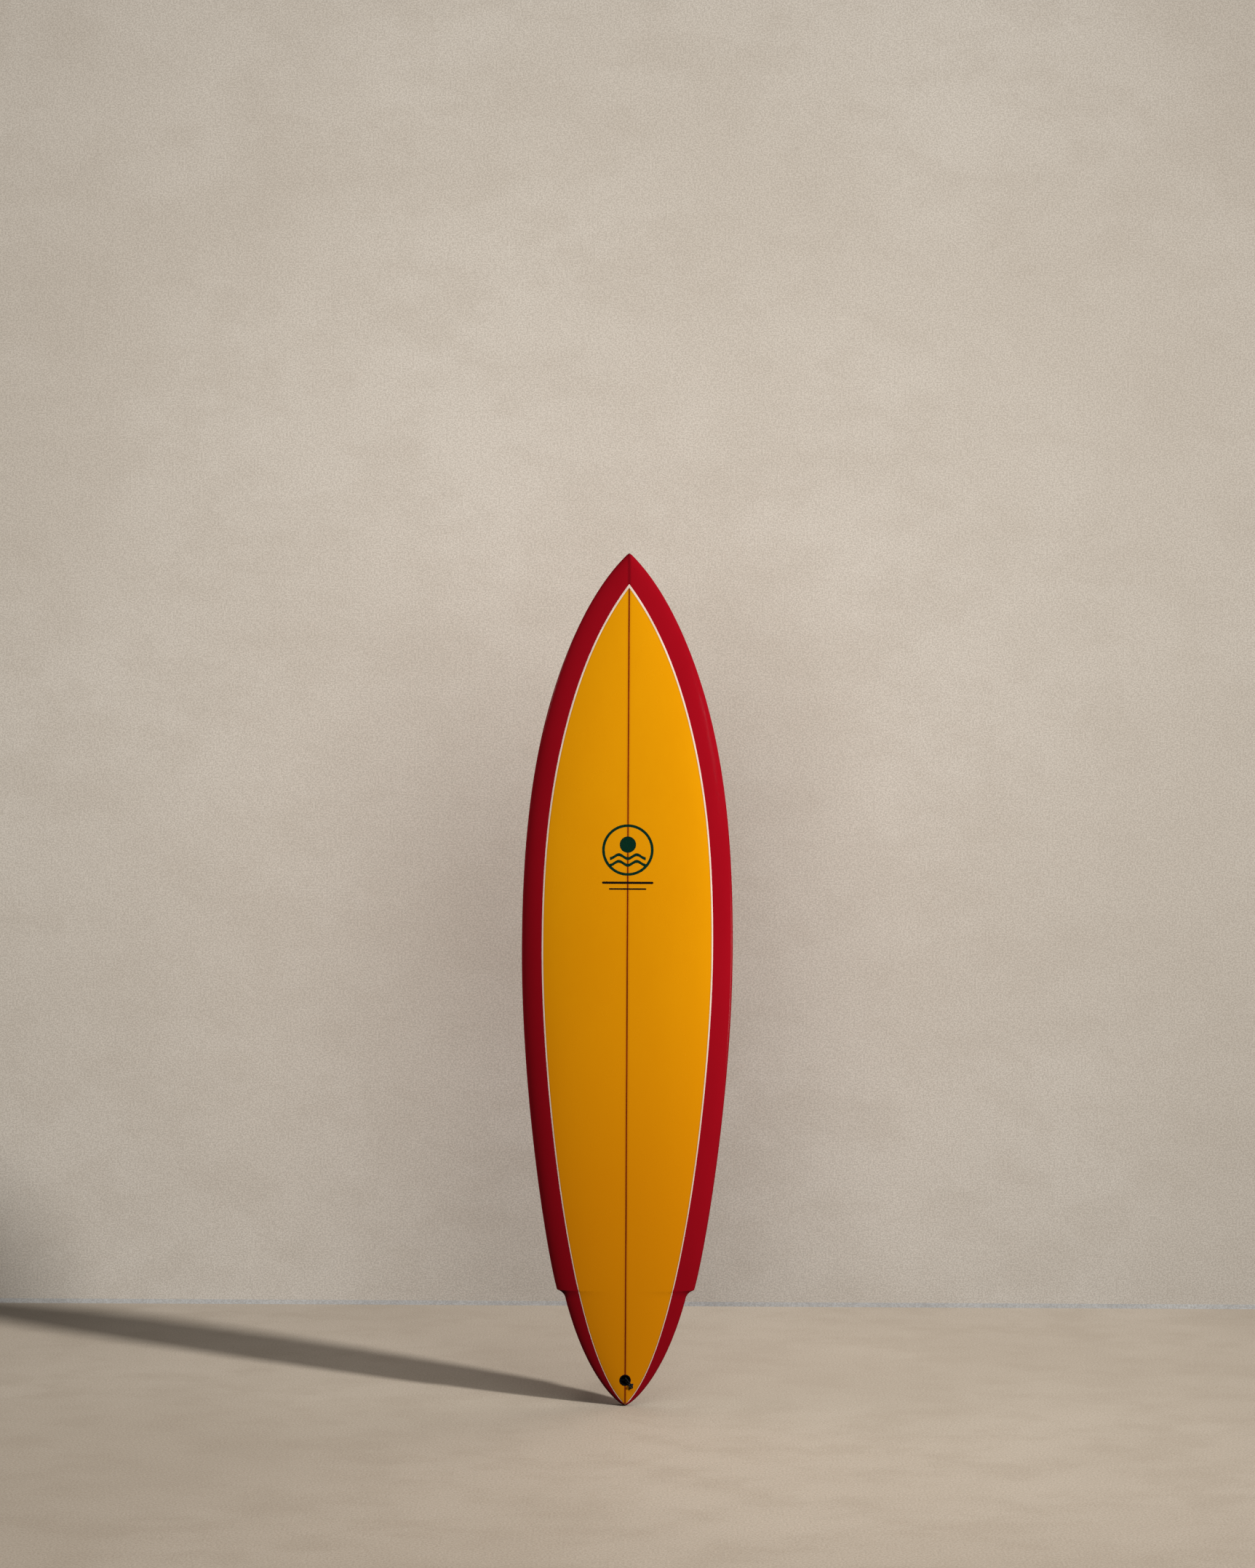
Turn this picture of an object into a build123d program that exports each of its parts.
"""Single-fin surfboard with a winged pin tail, standing upright on its tail tip.

Millimetres. The origin is the tail tip, where the board meets the floor. +Z runs up the board to
the nose, +X is across it, and the deck faces -Y, so the bottom and the fin face +Y.
"""

from build123d import *
import os
from math import cos, pi, sin, sqrt

os.makedirs("parts", exist_ok=True)

# Board
LENGTH = 2184.0
HALF_WIDTH = 272.6
THICKNESS = 72.0
NOSE_THICKNESS = 15.0
TAIL_THICKNESS = 18.0
THICKEST_Z = 1160.0
FOIL_POWER = 2.4
NOSE_ROCKER = 115.0
TAIL_ROCKER = 50.0
FLAT_Z = 1176.0
ROCKER_POWER = 2.5
RAIL_FULLNESS = 0.6
RAIL_HEIGHT = 0.42  # of the thickness, from the bottom to the rail's widest line
FLAT_Y = TAIL_ROCKER + RAIL_HEIGHT * TAIL_THICKNESS  # brings the tail tip to the origin
NOSE_ROUND = 5.0
TAIL_ROUND = 8.0

# How far the section's deck and bottom run out flat, as shares of the half-width
DECK_FLAT = 0.70
DECK_FLAT_NOSE = 0.28
DECK_FLAT_TAIL = 0.50
NOSE_CROWN_Z = 1650.0
TAIL_CROWN_Z = 700.0
BOTTOM_FLAT = 0.86
BOTTOM_FLAT_NOSE = 0.54
BOTTOM_ROLL_Z = 1300.0

# Layers
LAMINATE = 1.0
BOND = 0.05  # resin between the glass and the blank
STRINGER = 4.0
APEX_TRIM = 0.5  # how short of a point the panel and the pinline stop
INSET_SHARE = 0.35  # the most of the half-width or half-thickness that the glass takes at a tip
CORE_SHARE = 0.38  # the same with the bond

# Half-width at each height: chains of Bezier curves through (height, half-width)
WIDE_Z = 1176.0
WING_TOP = (294.0, 177.0)
WING_FOOT = (268.0, 154.0)
OUTLINE = [
    [(0, 0), (0, 13), (61, 98), WING_FOOT],
    [WING_FOOT, (281, 156), (289, 163), WING_TOP],
    [WING_TOP, (388, 204), (796, HALF_WIDTH), (WIDE_Z, HALF_WIDTH)],
    [(WIDE_Z, HALF_WIDTH), (1728, HALF_WIDTH), (1844, 182), (2052, 143), (LENGTH, 2)],
]
PANEL_HALF_WIDTH = 216.5
PANEL = [
    [(5, 0), (131, 139), (830, PANEL_HALF_WIDTH), (WIDE_Z, PANEL_HALF_WIDTH)],
    [(WIDE_Z, PANEL_HALF_WIDTH), (1612, PANEL_HALF_WIDTH), (1652, 161), (1892, 157), (2097, 0)],
]
PINLINE_HALF_WIDTH = 220.3
PINLINE = [
    [(2.2, 0), (129.2, 141.2), (830, PINLINE_HALF_WIDTH), (WIDE_Z, PINLINE_HALF_WIDTH)],
    [(WIDE_Z, PINLINE_HALF_WIDTH), (1612, PINLINE_HALF_WIDTH), (1653, 165.3), (1895, 161.4), (2106, 0)],
]

# Heights of the sections that the board is lofted through: close together at the tips and wings
STATIONS = [0.4, 1.2, 2.5, 5, 8, 14, 22, 35, 50, 70, 95, 125, 160, 200, 235, 256, WING_FOOT[0]]
STATIONS += [272, 276, 280, 284, 288, 291, WING_TOP[0], 298, 310, 340]
STATIONS += [390 + 60 * k for k in range(22)]
STATIONS += [1700 + 36 * k for k in range(10)]
STATIONS += [2050, 2065, 2080, 2092, 2097, 2101, 2106, 2115, 2130, 2145, 2160, 2170, 2176, 2180]
STATIONS += [2182.5, 2183.6]

# Leash plug
CUP_Z = 67.0
FLANGE_RADIUS = 14.5
FLANGE_PROUD = 0.6
CUP_RADIUS = 13.3
CUP_DEPTH = 15.5
MOUTH_RADIUS = 11.6
CAVITY_DEPTH = 13.0
BAR_RADIUS = 1.6
BAR_DEPTH = 3.2
BAR_LENGTH = 25.0
BED = 1.5
POCKET_CLEAR = 5.0  # how far a pocket's cutter stands out of the surface
FLUSH_Z = [60, 130, 200, 273, 345, 420, 500]  # where the fin box is trimmed to the bottom's curve
TRIM_Y = -200.0
TRIM_REACH = 60.0

# Leash string, in the plug's own plane: right, up and out of the deck
CORD = 2.8
CORD_ROUTE = [
    (15.6, -9.8, 3.2),
    (8.4, -3.2, 2.6),
    (2.6, 4.4, 0.2),
    (0.6, 4.6, -6.9),
    (-0.6, -4.4, -7.6),
    (8.2, -8.4, 2.6),
    (15.6, -14.6, 3.2),
]
CORD_RADII = [2.8, 2.9, 3.0, 3.0, 2.8]
KNOT_CENTRE = (16.0, -13.2, 5.2)
KNOT_RADIUS = 4.8
KNOT_ENDS = [(20.6, -9.4, 5.0), (14.6, -21.0, 3.4)]

# Fin box, in its own plane: along the board, across it and out of the bottom
BOX_Z = 273.0
BOX_LENGTH = 273.0
BOX_WIDTH = 25.0
BOX_DEPTH = 22.0
SLOT_LENGTH = 253.0
SLOT_WIDTH = 9.8
SLOT_DEPTH = 18.0
TRACK_WIDTH = 14.4
TRACK_LENGTH = 257.0
TRACK_TOP = 6.5
TRACK_HEIGHT = 3.6
NOTCH_LENGTH = 8.0
NOTCH_AT = 112.0

# Fin
FIN_BACK = 11.0  # the fin's middle stands this far behind the box's
FIN_DEPTH = 203.0
FIN_BASE = 150.0
FIN_THICKNESS = 9.3
FIN_TIP_THICKNESS = 2.6
FIN_GAP = 1.0
FIN_SLENDER = 0.3  # the most of its length that a section of the blade is thick
FOIL_STEPS = 8
FOIL_FRONT = 0.8  # the lower, the blunter the leading edge
FOIL_TAPER = 0.45  # how much of its thickness the foil loses on the way back
FOIL_PEAK = 0.85
FIN_STATIONS = [1, 25, 50, 80, 110, 140, 165, 183, 193, 199, 202, 202.8]
LEADING_EDGE = [[(0, 75), (70, 52), (196, -10), (FIN_DEPTH, -118)]]
TRAILING_EDGE = [
    [(0, -75), (70, -52), (150, -88), (184, -134)],
    [(184, -134), (192, -146), (FIN_DEPTH, -146), (FIN_DEPTH, -118)],
]
TAB_DEPTH = 17.0
TAB_CORNER = 2.0
TONGUE_LENGTH = 22.0
TONGUE_LAP = 4.0  # how far the tongue runs back into the tab
TONGUE_TOP = 3.0
TONGUE_FOOT = 6.2
PIN_RADIUS = 1.6
PIN_LENGTH = 13.8
PIN_AT = -68.0
PIN_DEPTH = -8.3
SCREW_AT = 87.0
SCREW_RADIUS = 2.0
SCREW_LENGTH = 13.0
SCREW_HEAD_RADIUS = 4.0
SCREW_HEAD_HEIGHT = 2.2
SCREW_HEAD_LIFT = 0.05
SCREW_CLEAR = 0.3
RECESS_WIDTH = 1.0
RECESS_DEPTH = 1.2
RUNNING = 0.05  # radial clearance of the screw in its nut
NUT_SIZE = (12.5, 13.6, 2.8)
NUT_TOP = -6.8

# Emblem
EMBLEM_Z = 1428.0
EMBLEM_RADIUS = 66.0
EMBLEM_RING = 7.0
SUN_UP = 14.0
SUN_RADIUS = 21.0
SWELL = [(-46, -2), (-23, 8), (0, -2), (23, 8), (46, -2)]
SWELLS = [-24.0, -41.0]
SWELL_HEIGHT = 8.0
EMBLEM_REACH = 60.0  # from the middle of the board out through the deck
EMBLEM_BARS = [(-84, 132, 6), (-100, 96, 4)]  # height, length and width


def blossom(points, values):
    """One de Casteljau step for each value: equal values give the curve's point."""
    points = [tuple(p) for p in points]
    for t in values:
        points = [
            tuple((1 - t) * a + t * b for a, b in zip(p, q)) for p, q in zip(points, points[1:])
        ]
    return points[0]


def sub_curve(points, start, end):
    """The control points of the stretch of a Bezier curve between two parameters."""
    n = len(points) - 1
    return [blossom(points, [start] * (n - k) + [end] * k) for k in range(n + 1)]


def parameter(points, at):
    """The parameter where a Bezier curve's first coordinate, which only grows, reaches at."""
    low, high = 0.0, 1.0
    for _ in range(50):
        middle = (low + high) / 2
        if blossom(points, [middle] * (len(points) - 1))[0] < at:
            low = middle
        else:
            high = middle
    return low


def curve_value(chain, at):
    """The second coordinate of a chain of Bezier curves where its first coordinate is at."""
    piece = next((c for c in chain if at <= c[-1][0]), chain[-1])
    return blossom(piece, [parameter(piece, at)] * (len(piece) - 1))[1]


def smooth(value, start, end):
    """0 before start, 1 after end, and an even blend between them."""
    share = min(1.0, max(0.0, (value - start) / (end - start)))
    return share * share * (3 - 2 * share)


def end_round(share):
    """Closes a form to nothing at its end as a quarter circle does."""
    share = min(1.0, max(0.0, share))
    return sqrt(1 - (1 - share) ** 2)


def tip_round(z):
    """How much of its thickness the board has at height z: all of it but near the two tips."""
    return end_round(min((LENGTH - z) / NOSE_ROUND, z / TAIL_ROUND))


def half_width(z):
    return curve_value(OUTLINE, z) * end_round((LENGTH - z) / NOSE_ROUND)


def foil(z):
    """Thickness along the centreline, before the ends are rounded."""
    end, thin = (0.0, TAIL_THICKNESS) if z < THICKEST_Z else (LENGTH, NOSE_THICKNESS)
    away = abs(z - THICKEST_Z) / abs(end - THICKEST_Z)
    return thin + (THICKNESS - thin) * (1 - away**FOIL_POWER)


def bottom_line(z):
    """Y of the bottom's centreline: flat amidships, curving towards the deck at both ends."""
    if z < FLAT_Z:
        return FLAT_Y - TAIL_ROCKER * ((FLAT_Z - z) / FLAT_Z) ** ROCKER_POWER
    return FLAT_Y - NOSE_ROCKER * ((z - FLAT_Z) / (LENGTH - FLAT_Z)) ** ROCKER_POWER


def rail_line(z):
    return bottom_line(z) - RAIL_HEIGHT * foil(z)


def deck_y(z):
    return rail_line(z) - (1 - RAIL_HEIGHT) * foil(z) * tip_round(z)


def bottom_y(z):
    return rail_line(z) + RAIL_HEIGHT * foil(z) * tip_round(z)


def deck_fullness(z):
    """How far the section's deck runs out flat: domed amidships, crowned at nose and tail."""
    nose = (DECK_FLAT - DECK_FLAT_NOSE) * smooth(z, NOSE_CROWN_Z, LENGTH)
    tail = (DECK_FLAT - DECK_FLAT_TAIL) * smooth(-z, -TAIL_CROWN_Z, 0)
    return DECK_FLAT - nose - tail


def bottom_fullness(z):
    """How far the bottom runs out flat: flat aft, rolled towards the nose."""
    return BOTTOM_FLAT - (BOTTOM_FLAT - BOTTOM_FLAT_NOSE) * smooth(z, BOTTOM_ROLL_Z, LENGTH)


def quarters(z, inset=0.0, share=INSET_SHARE):
    """Control points of the section's right half at height z: its deck, and its bottom."""
    width = half_width(z)
    rail = rail_line(z)
    inset = min(inset, share * width, share * (bottom_y(z) - rail))
    width = width - inset
    deck = rail - deck_y(z) - inset
    bottom = bottom_y(z) - rail - inset
    deck_curve = [
        (0, rail - deck),
        (deck_fullness(z) * width, rail - deck),
        (width, rail - RAIL_FULLNESS * deck),
        (width, rail),
    ]
    bottom_curve = [
        (width, rail),
        (width, rail + RAIL_FULLNESS * bottom),
        (bottom_fullness(z) * width, rail + bottom),
        (0, rail + bottom),
    ]
    return deck_curve, bottom_curve


def edge_width(chain, z):
    """Half the width of the panel or the pinline at height z, and 0 past its two apexes."""
    inside = chain[0][0][0] < z < chain[-1][-1][0]
    return curve_value(chain, z) if inside else 0.0


def section_face(z, lines):
    """A face at height z, bounded by straight lines and Bezier curves in order."""
    with BuildSketch(Plane.XY.offset(z)) as section:
        with BuildLine():
            for points in lines:
                if len(points) == 2:
                    Line(*points)
                else:
                    Bezier(*points)
        make_face()
    return section.sketch.face()


def deck_layer_face(z, inner_edge, outer_edge):
    """The deck's glass at height z, between two distances from the centreline."""
    strips = []
    for inset in (0.0, LAMINATE):
        curve = quarters(z, inset)[0]
        start = parameter(curve, inner_edge) if inner_edge else 0.0
        strips.append(sub_curve(curve, start, parameter(curve, outer_edge)))
    top, under = strips
    return section_face(z, [top, (top[-1], under[-1]), under[::-1], (under[0], top[0])])


def panel_face(z):
    """The deck's coloured panel at height z."""
    return deck_layer_face(z, 0.0, edge_width(PANEL, z))


def pinline_face(z):
    """The pinline at height z, from the panel's edge outwards."""
    return deck_layer_face(z, edge_width(PANEL, z), edge_width(PINLINE, z))


def wrap_face(z):
    """The bottom's glass at height z: round the rail and over the deck as far as the pinline."""
    edge = edge_width(PINLINE, z)
    strips = []
    for inset in (0.0, LAMINATE):
        deck_curve, bottom_curve = quarters(z, inset)
        start = parameter(deck_curve, edge) if edge else 0.0
        strips.append((sub_curve(deck_curve, start, 1.0), bottom_curve))
    (deck, bottom), (deck_in, bottom_in) = strips
    across = (bottom[-1], bottom_in[-1])
    lip = (deck_in[0], deck[0])
    return section_face(z, [deck, bottom, across, bottom_in[::-1], deck_in[::-1], lip])


def core_section(z):
    """Right half of the blank at height z, outside the stringer: its deck and bottom curves."""
    side = min(STRINGER / 2, INSET_SHARE * half_width(z))
    deck, bottom = quarters(z, LAMINATE + BOND, CORE_SHARE)
    deck = sub_curve(deck, parameter(deck, side), 1.0)
    bottom = sub_curve(bottom, 0.0, 1 - parameter(bottom[::-1], side))
    return deck, bottom


def foam_face(z):
    """Half of the foam at height z, from the stringer's side out to the rail."""
    deck, bottom = core_section(z)
    return section_face(z, [deck, bottom, (bottom[-1], deck[0])])


def stringer_face(z):
    """The stringer's section at height z."""
    deck, bottom = core_section(z)
    (side, top), (_, foot) = deck[0], bottom[-1]
    corners = [(-side, top), (side, top), (side, foot), (-side, foot)]
    return section_face(z, list(zip(corners, corners[1:] + corners[:1])))


def lofted(face, stations):
    """A layer, or its right half, as straight runs between its sections."""
    with BuildPart() as layer:
        loft([face(z) for z in stations], ruled=True, clean=False)
    return layer.part


def whole_board(half):
    """A right half joined to its mirror image."""
    with BuildPart() as whole:
        add(half)
        add(half.mirror(Plane.YZ), clean=False)
    return whole.part


def ends(chain):
    """The heights where the panel or the pinline is first and last wide enough to build."""
    return chain[0][0][0] + APEX_TRIM, chain[-1][-1][0] - APEX_TRIM


def between(low, high):
    """The stations from low to high, and those two themselves."""
    return [low] + [z for z in STATIONS if low < z < high] + [high]


def surface_slope(surface, z):
    """The direction along a surface's centreline, towards the nose."""
    return Vector(0, surface(z + 1) - surface(z - 1), 2).normalized()


def placed(plane, point):
    """A point given in a plane's own coordinates, in the board's."""
    return plane.from_local_coords(Vector(*point))


# Planes that the plug and the fin box sit in, with Z out of the board: the plug's X is across the
# board and its Y up it, and the fin box's X is up the board and its Y across it.
cup_up = surface_slope(deck_y, CUP_Z)
box_up = surface_slope(bottom_y, BOX_Z)
cup_plane = Plane((0, deck_y(CUP_Z), CUP_Z), x_dir=(1, 0, 0), z_dir=Vector(1, 0, 0).cross(cup_up))
box_plane = Plane((0, bottom_y(BOX_Z), BOX_Z), x_dir=box_up, z_dir=box_up.cross(Vector(1, 0, 0)))
fin_plane = Plane(placed(box_plane, (-FIN_BACK, 0, 0)), x_dir=box_up, z_dir=box_plane.z_dir)

# Pockets routed for the plug and the fin box
with BuildPart() as cup_pocket:
    with BuildSketch(cup_plane.offset(POCKET_CLEAR)):
        Circle(CUP_RADIUS + BED)
    extrude(amount=-(POCKET_CLEAR + CUP_DEPTH + BED))

with BuildPart() as box_pocket:
    with BuildSketch(box_plane.offset(POCKET_CLEAR)):
        SlotOverall(BOX_LENGTH + 2 * BED, BOX_WIDTH + 2 * BED)
    extrude(amount=-(POCKET_CLEAR + BOX_DEPTH + BED))

# Foam blank, in two halves
with BuildPart() as foam_right:
    add(lofted(foam_face, STATIONS))
    add(cup_pocket.part, mode=Mode.SUBTRACT, clean=False)
    add(box_pocket.part, mode=Mode.SUBTRACT, clean=False)
foam_right.part.label = "foam_right"
export_step(foam_right.part, "parts/foam_right.step")

with BuildPart() as foam_left:
    add(foam_right.part.mirror(Plane.YZ), clean=False)
foam_left.part.label = "foam_left"
export_step(foam_left.part, "parts/foam_left.step")

# Wood stringer, glued between the halves
with BuildPart() as stringer:
    add(lofted(stringer_face, STATIONS))
    add(cup_pocket.part, mode=Mode.SUBTRACT, clean=False)
    add(box_pocket.part, mode=Mode.SUBTRACT, clean=False)
stringer.part.label = "stringer"
export_step(stringer.part, "parts/stringer.step")

# Bottom laminate, wrapped round the rails onto the deck, the nose and the tail tip
with BuildPart() as bottom_laminate:
    add(whole_board(lofted(wrap_face, STATIONS)))
    add(box_pocket.part, mode=Mode.SUBTRACT, clean=False)
bottom_laminate.part.label = "bottom_laminate"
export_step(bottom_laminate.part, "parts/bottom_laminate.step")

# Pinline over the seam between the two laminates
with BuildPart() as deck_pinline:
    add(whole_board(lofted(pinline_face, between(*ends(PINLINE)))))
deck_pinline.part.label = "deck_pinline"
export_step(deck_pinline.part, "parts/deck_pinline.step")


# Printed emblem: a ringed sun over two swells, with two plain bars under it, set in the laminate
with BuildPart() as emblem_prism:
    with BuildSketch(Plane((0, 0, EMBLEM_Z), x_dir=(1, 0, 0), z_dir=(0, -1, 0))):
        Circle(EMBLEM_RADIUS)
        Circle(EMBLEM_RADIUS - EMBLEM_RING, mode=Mode.SUBTRACT)
        with Locations((0, SUN_UP)):
            Circle(SUN_RADIUS)
        for foot in SWELLS:
            with BuildLine():
                trough = Spline([(x, foot + y) for x, y in SWELL])
                crest = Spline([(x, foot + SWELL_HEIGHT + y) for x, y in SWELL])
                Line(trough @ 0, crest @ 0)
                Line(trough @ 1, crest @ 1)
            make_face()
        for up, length, width in EMBLEM_BARS:
            with Locations((0, up)):
                SlotOverall(length, width)
    extrude(amount=EMBLEM_REACH)

with BuildPart() as deck_whole:
    add(whole_board(lofted(panel_face, between(*ends(PANEL)))))

with BuildPart() as deck_emblem:
    add(deck_whole.part)
    add(emblem_prism.part, mode=Mode.INTERSECT, clean=False)
deck_emblem.part.label = "deck_emblem"
export_step(deck_emblem.part, "parts/deck_emblem.step")

with BuildPart() as deck_laminate:
    add(deck_whole.part)
    add(emblem_prism.part, mode=Mode.SUBTRACT, clean=False)
    add(cup_pocket.part, mode=Mode.SUBTRACT, clean=False)
deck_laminate.part.label = "deck_laminate"
export_step(deck_laminate.part, "parts/deck_laminate.step")

# Leash cup with its flange and cavity
with BuildPart() as leash_cup:
    with BuildSketch(cup_plane.offset(FLANGE_PROUD)):
        Circle(FLANGE_RADIUS)
    extrude(amount=-FLANGE_PROUD)
    with BuildSketch(cup_plane):
        Circle(CUP_RADIUS)
    extrude(amount=-CUP_DEPTH)
    with BuildSketch(cup_plane.offset(FLANGE_PROUD)):
        Circle(MOUTH_RADIUS)
    extrude(amount=-(FLANGE_PROUD + CAVITY_DEPTH), mode=Mode.SUBTRACT)
    with BuildSketch(Plane(placed(cup_plane, (-CUP_RADIUS, 0, -BAR_DEPTH)), z_dir=(1, 0, 0))):
        Circle(BAR_RADIUS)
    extrude(amount=2 * CUP_RADIUS, mode=Mode.SUBTRACT)
leash_cup.part.label = "leash_cup"
export_step(leash_cup.part, "parts/leash_cup.step")

with BuildPart() as leash_bar:
    with BuildSketch(Plane(placed(cup_plane, (-BAR_LENGTH / 2, 0, -BAR_DEPTH)), z_dir=(1, 0, 0))):
        Circle(BAR_RADIUS)
    extrude(amount=BAR_LENGTH)
leash_bar.part.label = "leash_bar"
export_step(leash_bar.part, "parts/leash_bar.step")

# Resin beds that hold the cup and the fin box
with BuildPart() as leash_cup_bed:
    with BuildSketch(cup_plane):
        Circle(CUP_RADIUS + BED)
    extrude(amount=-(CUP_DEPTH + BED))
    with BuildSketch(cup_plane):
        Circle(CUP_RADIUS)
    extrude(amount=-CUP_DEPTH, mode=Mode.SUBTRACT)
leash_cup_bed.part.label = "leash_cup_bed"
export_step(leash_cup_bed.part, "parts/leash_cup_bed.step")

# Everything under the bottom's centreline, which the box and its bed are sanded flush with
with BuildPart() as under_bottom:
    with BuildSketch(Plane.YZ):
        with BuildLine():
            flush = Spline([(bottom_y(z), z) for z in FLUSH_Z])
            Polyline(flush @ 0, (TRIM_Y, FLUSH_Z[0]), (TRIM_Y, FLUSH_Z[-1]), flush @ 1)
        make_face()
    extrude(amount=TRIM_REACH, both=True)

with BuildPart() as fin_box_bed:
    with BuildSketch(box_plane.offset(POCKET_CLEAR)):
        SlotOverall(BOX_LENGTH + 2 * BED, BOX_WIDTH + 2 * BED)
    extrude(amount=-(POCKET_CLEAR + BOX_DEPTH + BED))
    with BuildSketch(box_plane.offset(POCKET_CLEAR)):
        SlotOverall(BOX_LENGTH, BOX_WIDTH)
    extrude(amount=-(POCKET_CLEAR + BOX_DEPTH), mode=Mode.SUBTRACT)
    add(under_bottom.part, mode=Mode.INTERSECT)
fin_box_bed.part.label = "fin_box_bed"
export_step(fin_box_bed.part, "parts/fin_box_bed.step")

# Long slotted fin box: the slot takes the fin's tab, and its side tracks the pin and the nut
with BuildPart() as fin_box:
    with BuildSketch(box_plane.offset(POCKET_CLEAR)):
        SlotOverall(BOX_LENGTH, BOX_WIDTH)
    extrude(amount=-(POCKET_CLEAR + BOX_DEPTH))
    with BuildSketch(box_plane.offset(POCKET_CLEAR)):
        SlotOverall(SLOT_LENGTH, SLOT_WIDTH)
    extrude(amount=-(POCKET_CLEAR + SLOT_DEPTH), mode=Mode.SUBTRACT)
    with BuildSketch(box_plane.offset(-TRACK_TOP)):
        SlotOverall(TRACK_LENGTH, TRACK_WIDTH)
    extrude(amount=-TRACK_HEIGHT, mode=Mode.SUBTRACT)
    with BuildSketch(box_plane.offset(POCKET_CLEAR)):
        with Locations((NOTCH_AT, 0)):
            Rectangle(NOTCH_LENGTH, TRACK_WIDTH)
    extrude(amount=-(POCKET_CLEAR + TRACK_TOP), mode=Mode.SUBTRACT)
    add(under_bottom.part, mode=Mode.INTERSECT)
fin_box.part.label = "fin_box"
export_step(fin_box.part, "parts/fin_box.step")


# Fin: a raked blade on a tab, with a tongue in front for the screw
def fin_section(depth):
    """The blade's foil at a distance out of the board: rounded in front, thin behind."""
    front = curve_value(LEADING_EDGE, depth)
    back = curve_value(TRAILING_EDGE, depth)
    thick = FIN_THICKNESS + (FIN_TIP_THICKNESS - FIN_THICKNESS) * depth / FIN_DEPTH
    thick = min(thick, FIN_SLENDER * (front - back))
    right = []
    for step in range(1, FOIL_STEPS):
        turn = step * pi / FOIL_STEPS
        share = (1 - cos(turn)) / 2
        bulge = sin(turn) ** FOIL_FRONT * (1 - FOIL_TAPER * share) / FOIL_PEAK
        right.append((front - share * (front - back), thick / 2 * bulge))
    left = [(along, -across) for along, across in reversed(right)]
    with BuildSketch(fin_plane.offset(depth)) as foil_face:
        with BuildLine():
            Spline((front, 0), *right, (back, 0), *left, periodic=True)
        make_face()
    return foil_face.sketch.face()


with BuildPart() as fin:
    loft([fin_section(depth) for depth in FIN_STATIONS], clean=False)
    with BuildSketch(fin_plane.offset(FIN_GAP)):
        RectangleRounded(FIN_BASE, FIN_THICKNESS, TAB_CORNER)
    extrude(amount=-(FIN_GAP + TAB_DEPTH))
    with BuildSketch(fin_plane.offset(-TONGUE_TOP)):
        with Locations(((FIN_BASE + TONGUE_LENGTH - TONGUE_LAP) / 2, 0)):
            RectangleRounded(TONGUE_LENGTH + TONGUE_LAP, FIN_THICKNESS, TAB_CORNER)
    extrude(amount=TONGUE_TOP - TONGUE_FOOT)
    with BuildSketch(fin_plane.offset(-TONGUE_TOP)):
        with Locations((SCREW_AT, 0)):
            Circle(SCREW_RADIUS + SCREW_CLEAR)
    extrude(amount=TONGUE_TOP - TONGUE_FOOT, mode=Mode.SUBTRACT)
    with BuildSketch(Plane(placed(fin_plane, (PIN_AT, -PIN_LENGTH, PIN_DEPTH)), z_dir=(1, 0, 0))):
        Circle(PIN_RADIUS)
    extrude(amount=2 * PIN_LENGTH, mode=Mode.SUBTRACT)
fin.part.label = "fin"
export_step(fin.part, "parts/fin.step")

with BuildPart() as fin_pin:
    with BuildSketch(Plane(placed(fin_plane, (PIN_AT, -PIN_LENGTH / 2, PIN_DEPTH)), z_dir=(1, 0, 0))):
        Circle(PIN_RADIUS)
    extrude(amount=PIN_LENGTH)
fin_pin.part.label = "fin_pin"
export_step(fin_pin.part, "parts/fin_pin.step")

with BuildPart() as fin_nut:
    with BuildSketch(fin_plane.offset(NUT_TOP)):
        with Locations((SCREW_AT, 0)):
            Rectangle(NUT_SIZE[0], NUT_SIZE[1])
            Circle(SCREW_RADIUS + RUNNING, mode=Mode.SUBTRACT)
    extrude(amount=-NUT_SIZE[2])
fin_nut.part.label = "fin_nut"
export_step(fin_nut.part, "parts/fin_nut.step")

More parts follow.
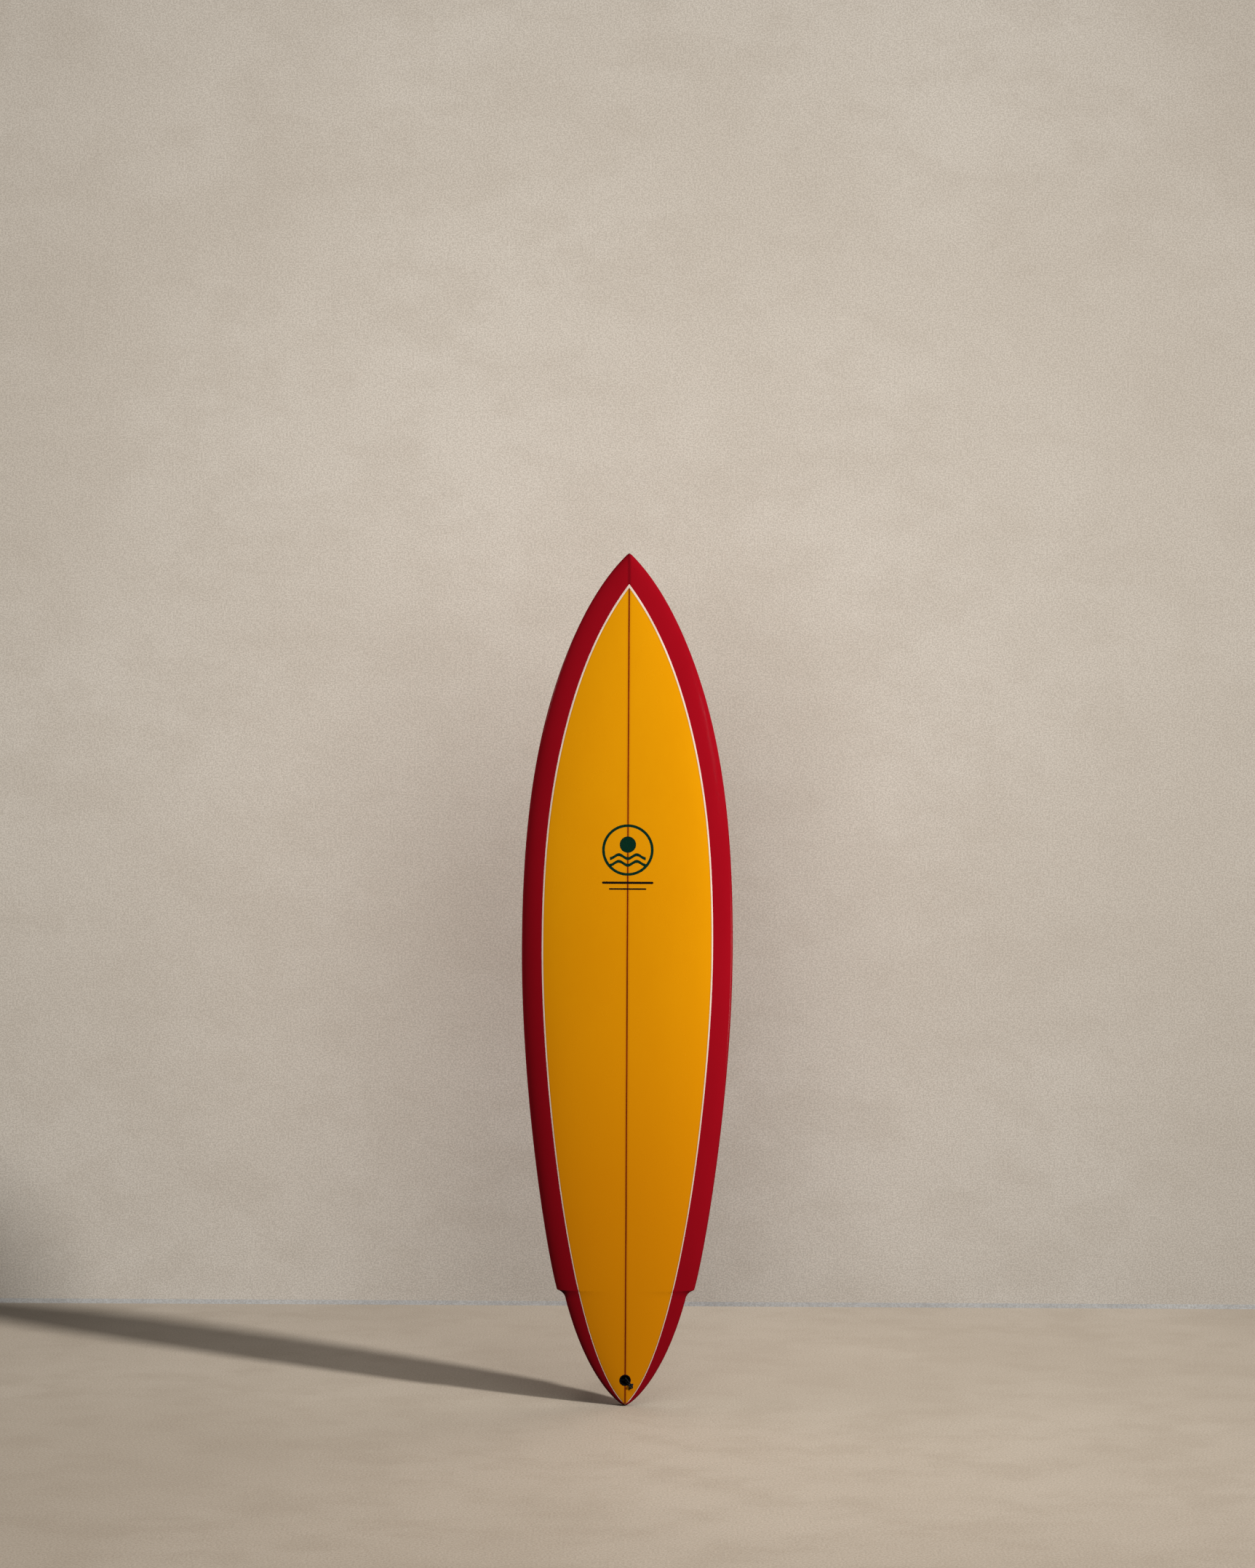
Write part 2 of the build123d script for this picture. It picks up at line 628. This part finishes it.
with BuildPart() as fin_screw:
    with BuildSketch(fin_plane.offset(-TONGUE_TOP + SCREW_HEAD_LIFT)):
        with Locations((SCREW_AT, 0)):
            Circle(SCREW_HEAD_RADIUS)
    extrude(amount=SCREW_HEAD_HEIGHT)
    fillet(fin_screw.faces().sort_by(Axis.Y)[-1].edges(), SCREW_HEAD_HEIGHT / 2)
    with BuildSketch(fin_plane.offset(-TONGUE_TOP + SCREW_HEAD_LIFT)):
        with Locations((SCREW_AT, 0)):
            Circle(SCREW_RADIUS)
    extrude(amount=-SCREW_LENGTH)
    with BuildSketch(fin_plane.offset(-TONGUE_TOP + SCREW_HEAD_LIFT + SCREW_HEAD_HEIGHT)):
        with Locations((SCREW_AT, 0)):
            Rectangle(SCREW_HEAD_RADIUS, RECESS_WIDTH)
            Rectangle(RECESS_WIDTH, SCREW_HEAD_RADIUS)
    extrude(amount=-RECESS_DEPTH, mode=Mode.SUBTRACT)
fin_screw.part.label = "fin_screw"
export_step(fin_screw.part, "parts/fin_screw.step")

# Leash string: one cord looped round the bar, its two ends knotted together outside the cup
with BuildPart() as leash_knot:
    with Locations(placed(cup_plane, KNOT_CENTRE)):
        Sphere(KNOT_RADIUS)
    for end in KNOT_ENDS:
        run = placed(cup_plane, end) - placed(cup_plane, KNOT_CENTRE)
        with BuildSketch(Plane(placed(cup_plane, KNOT_CENTRE), z_dir=run)):
            Circle(CORD / 2)
        extrude(amount=run.length)
leash_knot.part.label = "leash_knot"
export_step(leash_knot.part, "parts/leash_knot.step")

with BuildPart() as leash_string:
    with BuildLine() as route:
        FilletPolyline(*[placed(cup_plane, p) for p in CORD_ROUTE], radius=CORD_RADII)
    with BuildSketch(Plane(route.line @ 0, z_dir=route.line % 0)):
        Circle(CORD / 2)
    sweep()
    cord_run = sum(edge.length for edge in route.line.edges())
    print("cord length", cord_run, "radii", CORD_RADII)
    print("cord volume share", leash_string.part.volume / (pi * CORD**2 / 4 * cord_run))
    add(leash_knot.part, mode=Mode.SUBTRACT)
leash_string.part.label = "leash_string"
export_step(leash_string.part, "parts/leash_string.step")
